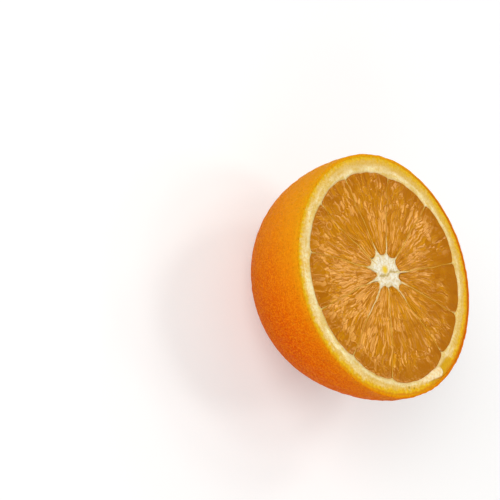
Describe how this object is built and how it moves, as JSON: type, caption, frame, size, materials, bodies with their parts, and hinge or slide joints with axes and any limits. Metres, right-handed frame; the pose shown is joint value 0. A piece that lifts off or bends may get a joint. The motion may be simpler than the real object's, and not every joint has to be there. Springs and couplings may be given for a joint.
{
  "type": "orange half",
  "caption": "Half of an orange, cut across its segments, resting on its round side with the cut face up.",
  "frame": {"origin": "on the surface that it rests on, under the middle of the object's box", "axes": "+Z up, out of the cut face; +X to the right and +Y up as the cut face is seen in the picture"},
  "size_m": [0.076, 0.0768, 0.0421],
  "materials": {
    "orange_half": "satin peel over cream pith and moist flesh"
  },
  "bodies": {
    "root": {"orange_half": "orange_half"}
  },
  "joints": []
}
